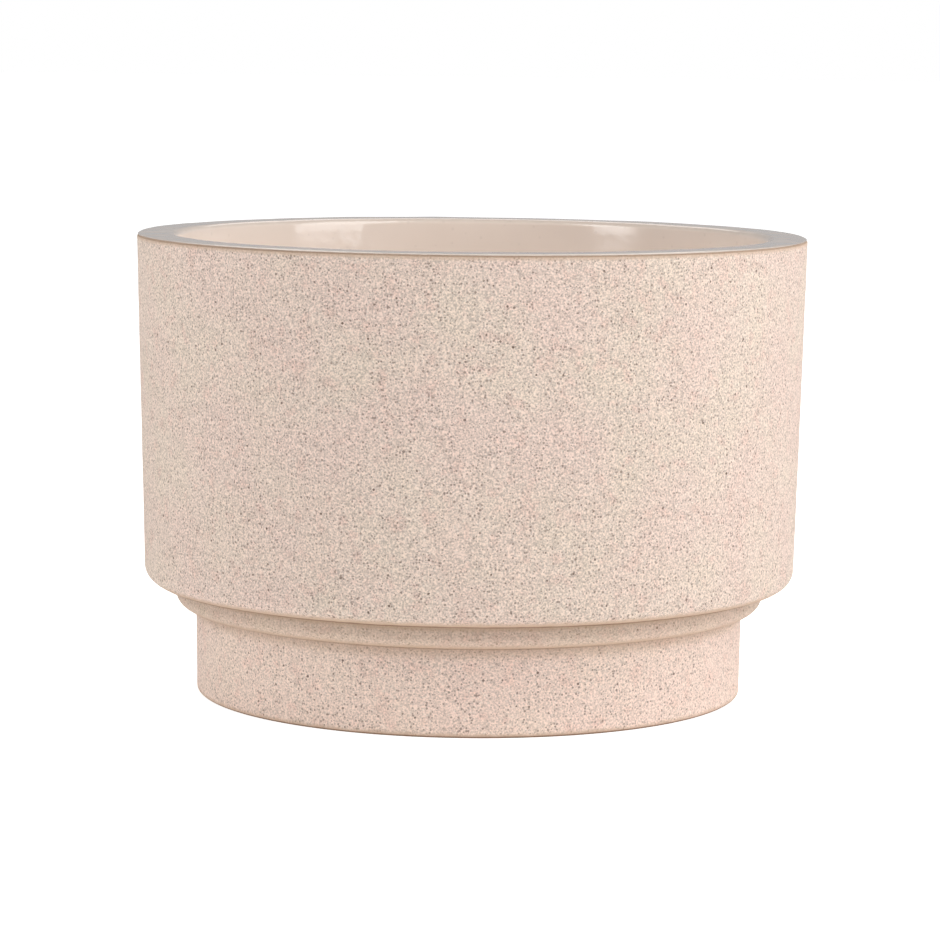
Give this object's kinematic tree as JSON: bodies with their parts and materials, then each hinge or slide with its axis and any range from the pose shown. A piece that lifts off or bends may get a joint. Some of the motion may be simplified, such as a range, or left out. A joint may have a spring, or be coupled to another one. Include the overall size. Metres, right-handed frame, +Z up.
{
  "type": "bonsai pot",
  "caption": "Round stepped stoneware bonsai pot with a glazed inside, drain screens held by wire clips, and a drip tray that it lifts off.",
  "frame": {"origin": "centre of the drip tray's base, on the surface that the pot stands on", "axes": "+Z up along the pot's axis, the way the pot lifts off its tray; +Y towards the first drain hole"},
  "size_m": [0.2, 0.2, 0.1374],
  "materials": {
    "stoneware": "matte",
    "mesh_plastic": "matte",
    "clip_wire": "satin"
  },
  "bodies": {
    "tray": {"drip_tray": "stoneware"},
    "pot": {"pot_body": "stoneware", "drain_screen_1": "mesh_plastic", "drain_screen_2": "mesh_plastic", "drain_screen_3": "mesh_plastic", "screen_clip_1": "clip_wire", "screen_clip_2": "clip_wire", "screen_clip_3": "clip_wire"}
  },
  "joints": [
    {"name": "pot_lift", "type": "slide", "parent": "tray", "child": "pot", "axis": [0, 0, 1], "range_m": [0, 0.06]}
  ]
}
